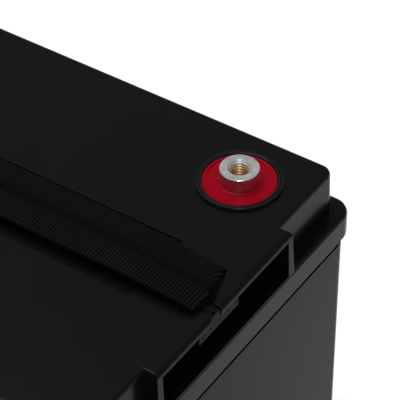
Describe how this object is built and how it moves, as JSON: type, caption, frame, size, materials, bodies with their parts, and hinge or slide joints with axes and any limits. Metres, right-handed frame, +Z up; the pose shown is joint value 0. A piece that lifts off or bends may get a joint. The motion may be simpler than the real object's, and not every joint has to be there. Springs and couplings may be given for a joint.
{
  "type": "battery pack",
  "caption": "Boxy sealed battery pack with a raised lid, two flush-collared insert terminals and a webbing strap handle across the top.",
  "frame": {"origin": "middle of the underside", "axes": "+X along the length towards the positive terminal's end, +Y across towards the long side that both terminals sit on, +Z up"},
  "size_m": [0.33, 0.172, 0.222],
  "materials": {
    "case_plastic": "gloss",
    "webbing": "matte",
    "tinned_brass": "satin",
    "ring_red": "gloss",
    "ring_black": "gloss",
    "seal": "matte",
    "cell_can": "satin",
    "cell_sheet": "matte",
    "aluminium": "satin",
    "copper": "satin",
    "steel": "satin",
    "foam": "matte",
    "board_sheet": "satin",
    "circuit_board": "satin",
    "connector": "satin",
    "lead_red": "satin",
    "lead_black": "satin",
    "harness": "matte"
  },
  "bodies": {
    "pack": {"balance_harness": "harness", "bms_board": "circuit_board", "bms_heatsink": "aluminium", "bms_socket": "connector", "board_carrier": "foam", "busbar_1": "copper", "busbar_2": "copper", "busbar_3": "copper", "case_tub": "case_plastic", "cell_1": "cell_can", "cell_2": "cell_can", "cell_3": "cell_can", "cell_4": "cell_can", "cell_nut_1_back": "steel", "cell_nut_1_front": "steel", "cell_nut_2_back": "steel", "cell_nut_2_front": "steel", "cell_nut_3_back": "steel", "cell_nut_3_front": "steel", "cell_nut_4_back": "steel", "cell_nut_4_front": "steel", "cell_pad_1": "cell_sheet", "cell_pad_2": "cell_sheet", "cell_pad_3": "cell_sheet", "end_plate_left": "aluminium", "end_plate_right": "aluminium", "floor_mat": "foam", "foam_block_left": "foam", "foam_block_right": "foam", "harness_plug": "connector", "insulation_board": "board_sheet", "lead_cell_negative": "lead_black", "lead_output_negative": "lead_black", "lead_positive": "lead_red", "lid": "case_plastic", "lid_seal": "seal", "lug_cell_negative": "tinned_brass", "lug_cell_positive": "tinned_brass", "lug_post_negative": "tinned_brass", "lug_post_positive": "tinned_brass", "lug_screw_negative": "steel", "lug_screw_positive": "steel", "steel_band_lower": "steel", "steel_band_upper": "steel", "strap_clip_left": "case_plastic", "strap_clip_right": "case_plastic", "strap_pin_left": "steel", "strap_pin_right": "steel", "strap_tail_left": "webbing", "strap_tail_right": "webbing", "terminal_collar_negative": "case_plastic", "terminal_collar_positive": "case_plastic", "terminal_post_negative": "tinned_brass", "terminal_post_positive": "tinned_brass", "terminal_ring_negative": "ring_black", "terminal_ring_positive": "ring_red"},
    "strap_grip": {"strap_middle": "webbing"},
    "strap_arm_right": {"strap_right": "webbing"},
    "strap_arm_left": {"strap_left": "webbing"}
  },
  "joints": [
    {"name": "strap_lift", "type": "slide", "parent": "pack", "child": "strap_grip", "axis": [0, 0, 1], "range_m": [0, 0.04]},
    {"name": "strap_fold_right", "type": "hinge", "parent": "strap_grip", "child": "strap_arm_right", "pos_m": [0.0424, 0, 0.2186], "axis": [0, 1, 0], "range_deg": [0, 21.6]},
    {"name": "strap_fold_left", "type": "hinge", "parent": "strap_grip", "child": "strap_arm_left", "pos_m": [-0.0424, 0, 0.2186], "axis": [0, -1, 0], "range_deg": [0, 21.6]}
  ],
  "couplings": [
    {"joint": "strap_fold_right", "follows": "strap_lift", "rad_per_m": 9.381},
    {"joint": "strap_fold_left", "follows": "strap_lift", "rad_per_m": 9.381}
  ]
}
